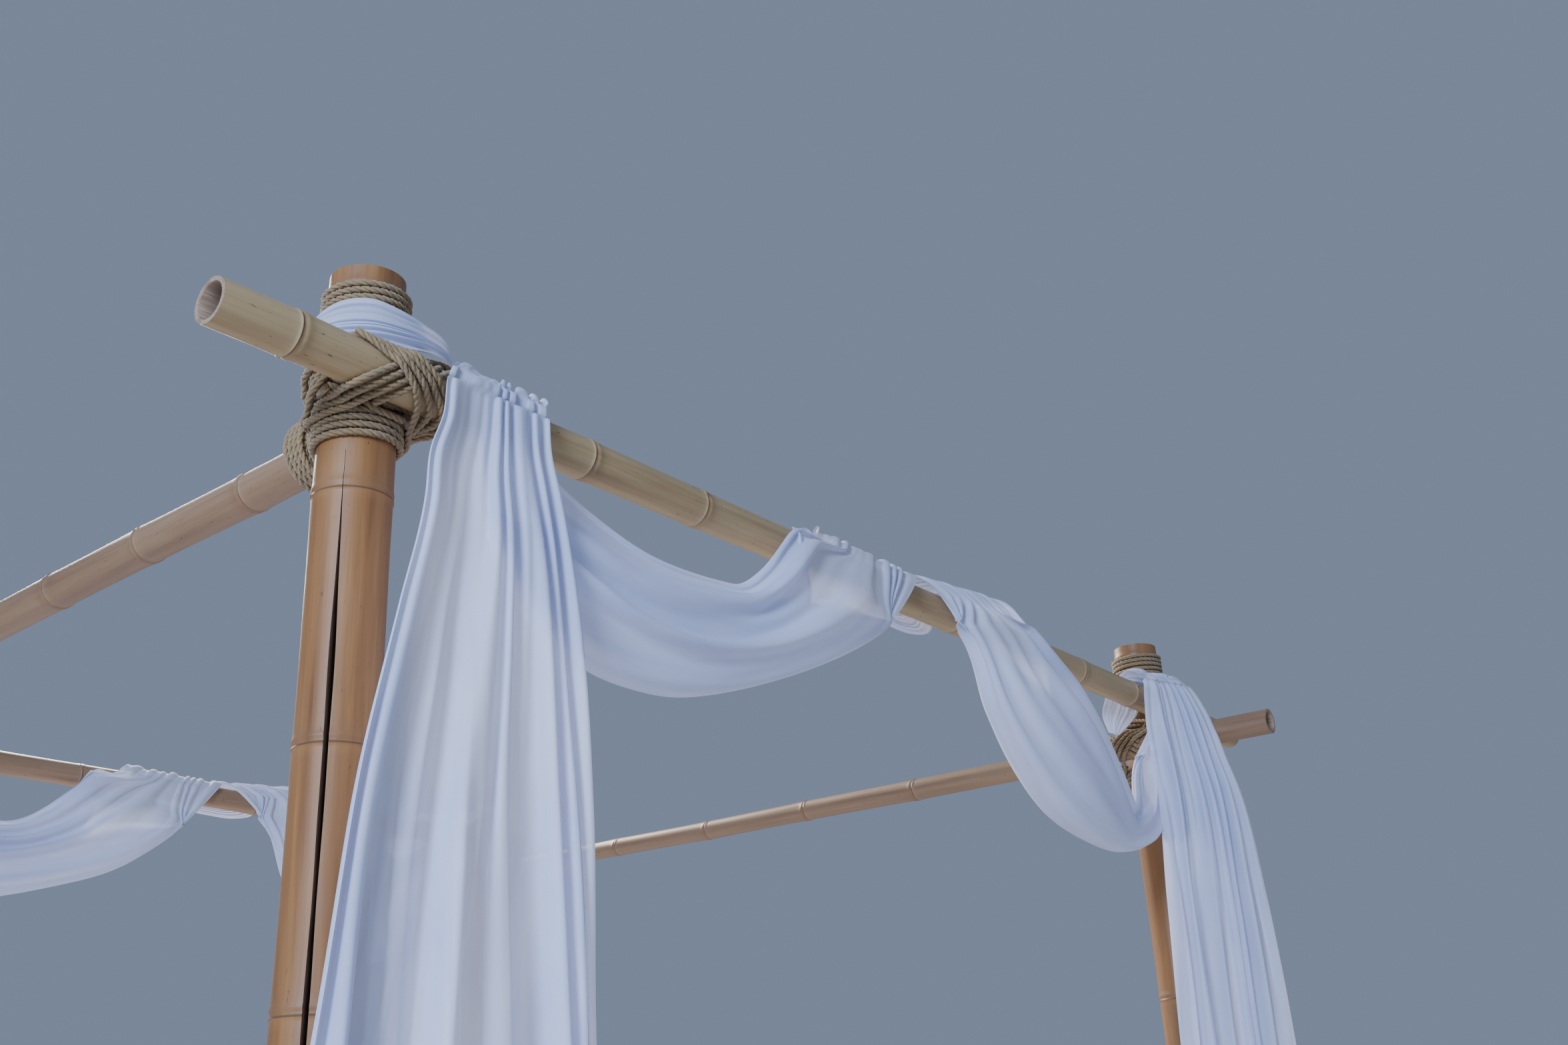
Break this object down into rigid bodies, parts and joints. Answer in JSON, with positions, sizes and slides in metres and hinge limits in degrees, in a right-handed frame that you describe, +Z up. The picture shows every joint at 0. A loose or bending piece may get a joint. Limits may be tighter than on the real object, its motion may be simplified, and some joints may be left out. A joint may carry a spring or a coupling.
{
  "type": "four-post bamboo ceremony arch",
  "caption": "Square bamboo canopy frame: posts and lashed beams, with sheer white cloth draped as curtains and swags on its front and back, open at the sides.",
  "frame": {"origin": "on the ground, at the middle of the four posts", "axes": "+X along the front beam from post A to post B, +Y from the front side to the back side, +Z up"},
  "size_m": [3.15, 3.1923, 2.541],
  "materials": {
    "bamboo_post": "dried bamboo, smooth waxy skin",
    "bamboo_beam": "dried bamboo, smooth waxy skin",
    "rope": "twisted natural fibre rope",
    "cloth": "sheer white voile"
  },
  "bodies": {
    "root": {"post_a": "bamboo_post", "post_b": "bamboo_post", "post_c": "bamboo_post", "post_d": "bamboo_post", "front_beam": "bamboo_beam", "back_beam": "bamboo_beam", "left_beam": "bamboo_beam", "right_beam": "bamboo_beam", "head_rope_a": "rope", "head_rope_b": "rope", "head_rope_c": "rope", "head_rope_d": "rope", "corner_lashing_a": "rope", "corner_lashing_b": "rope", "corner_lashing_c": "rope", "corner_lashing_d": "rope", "rope_collar_a": "rope", "rope_collar_b": "rope", "rope_collar_c": "rope", "rope_collar_d": "rope", "front_curtain_left": "cloth", "front_swag_left": "cloth", "front_swag_back_loop": "cloth", "front_swag_right": "cloth", "front_curtain_right": "cloth", "front_head_cloth_left": "cloth", "front_head_cloth_right": "cloth", "back_curtain_left": "cloth", "back_swag_left": "cloth", "back_swag_back_loop": "cloth", "back_swag_right": "cloth", "back_curtain_right": "cloth", "back_head_cloth_left": "cloth", "back_head_cloth_right": "cloth"}
  },
  "joints": []
}
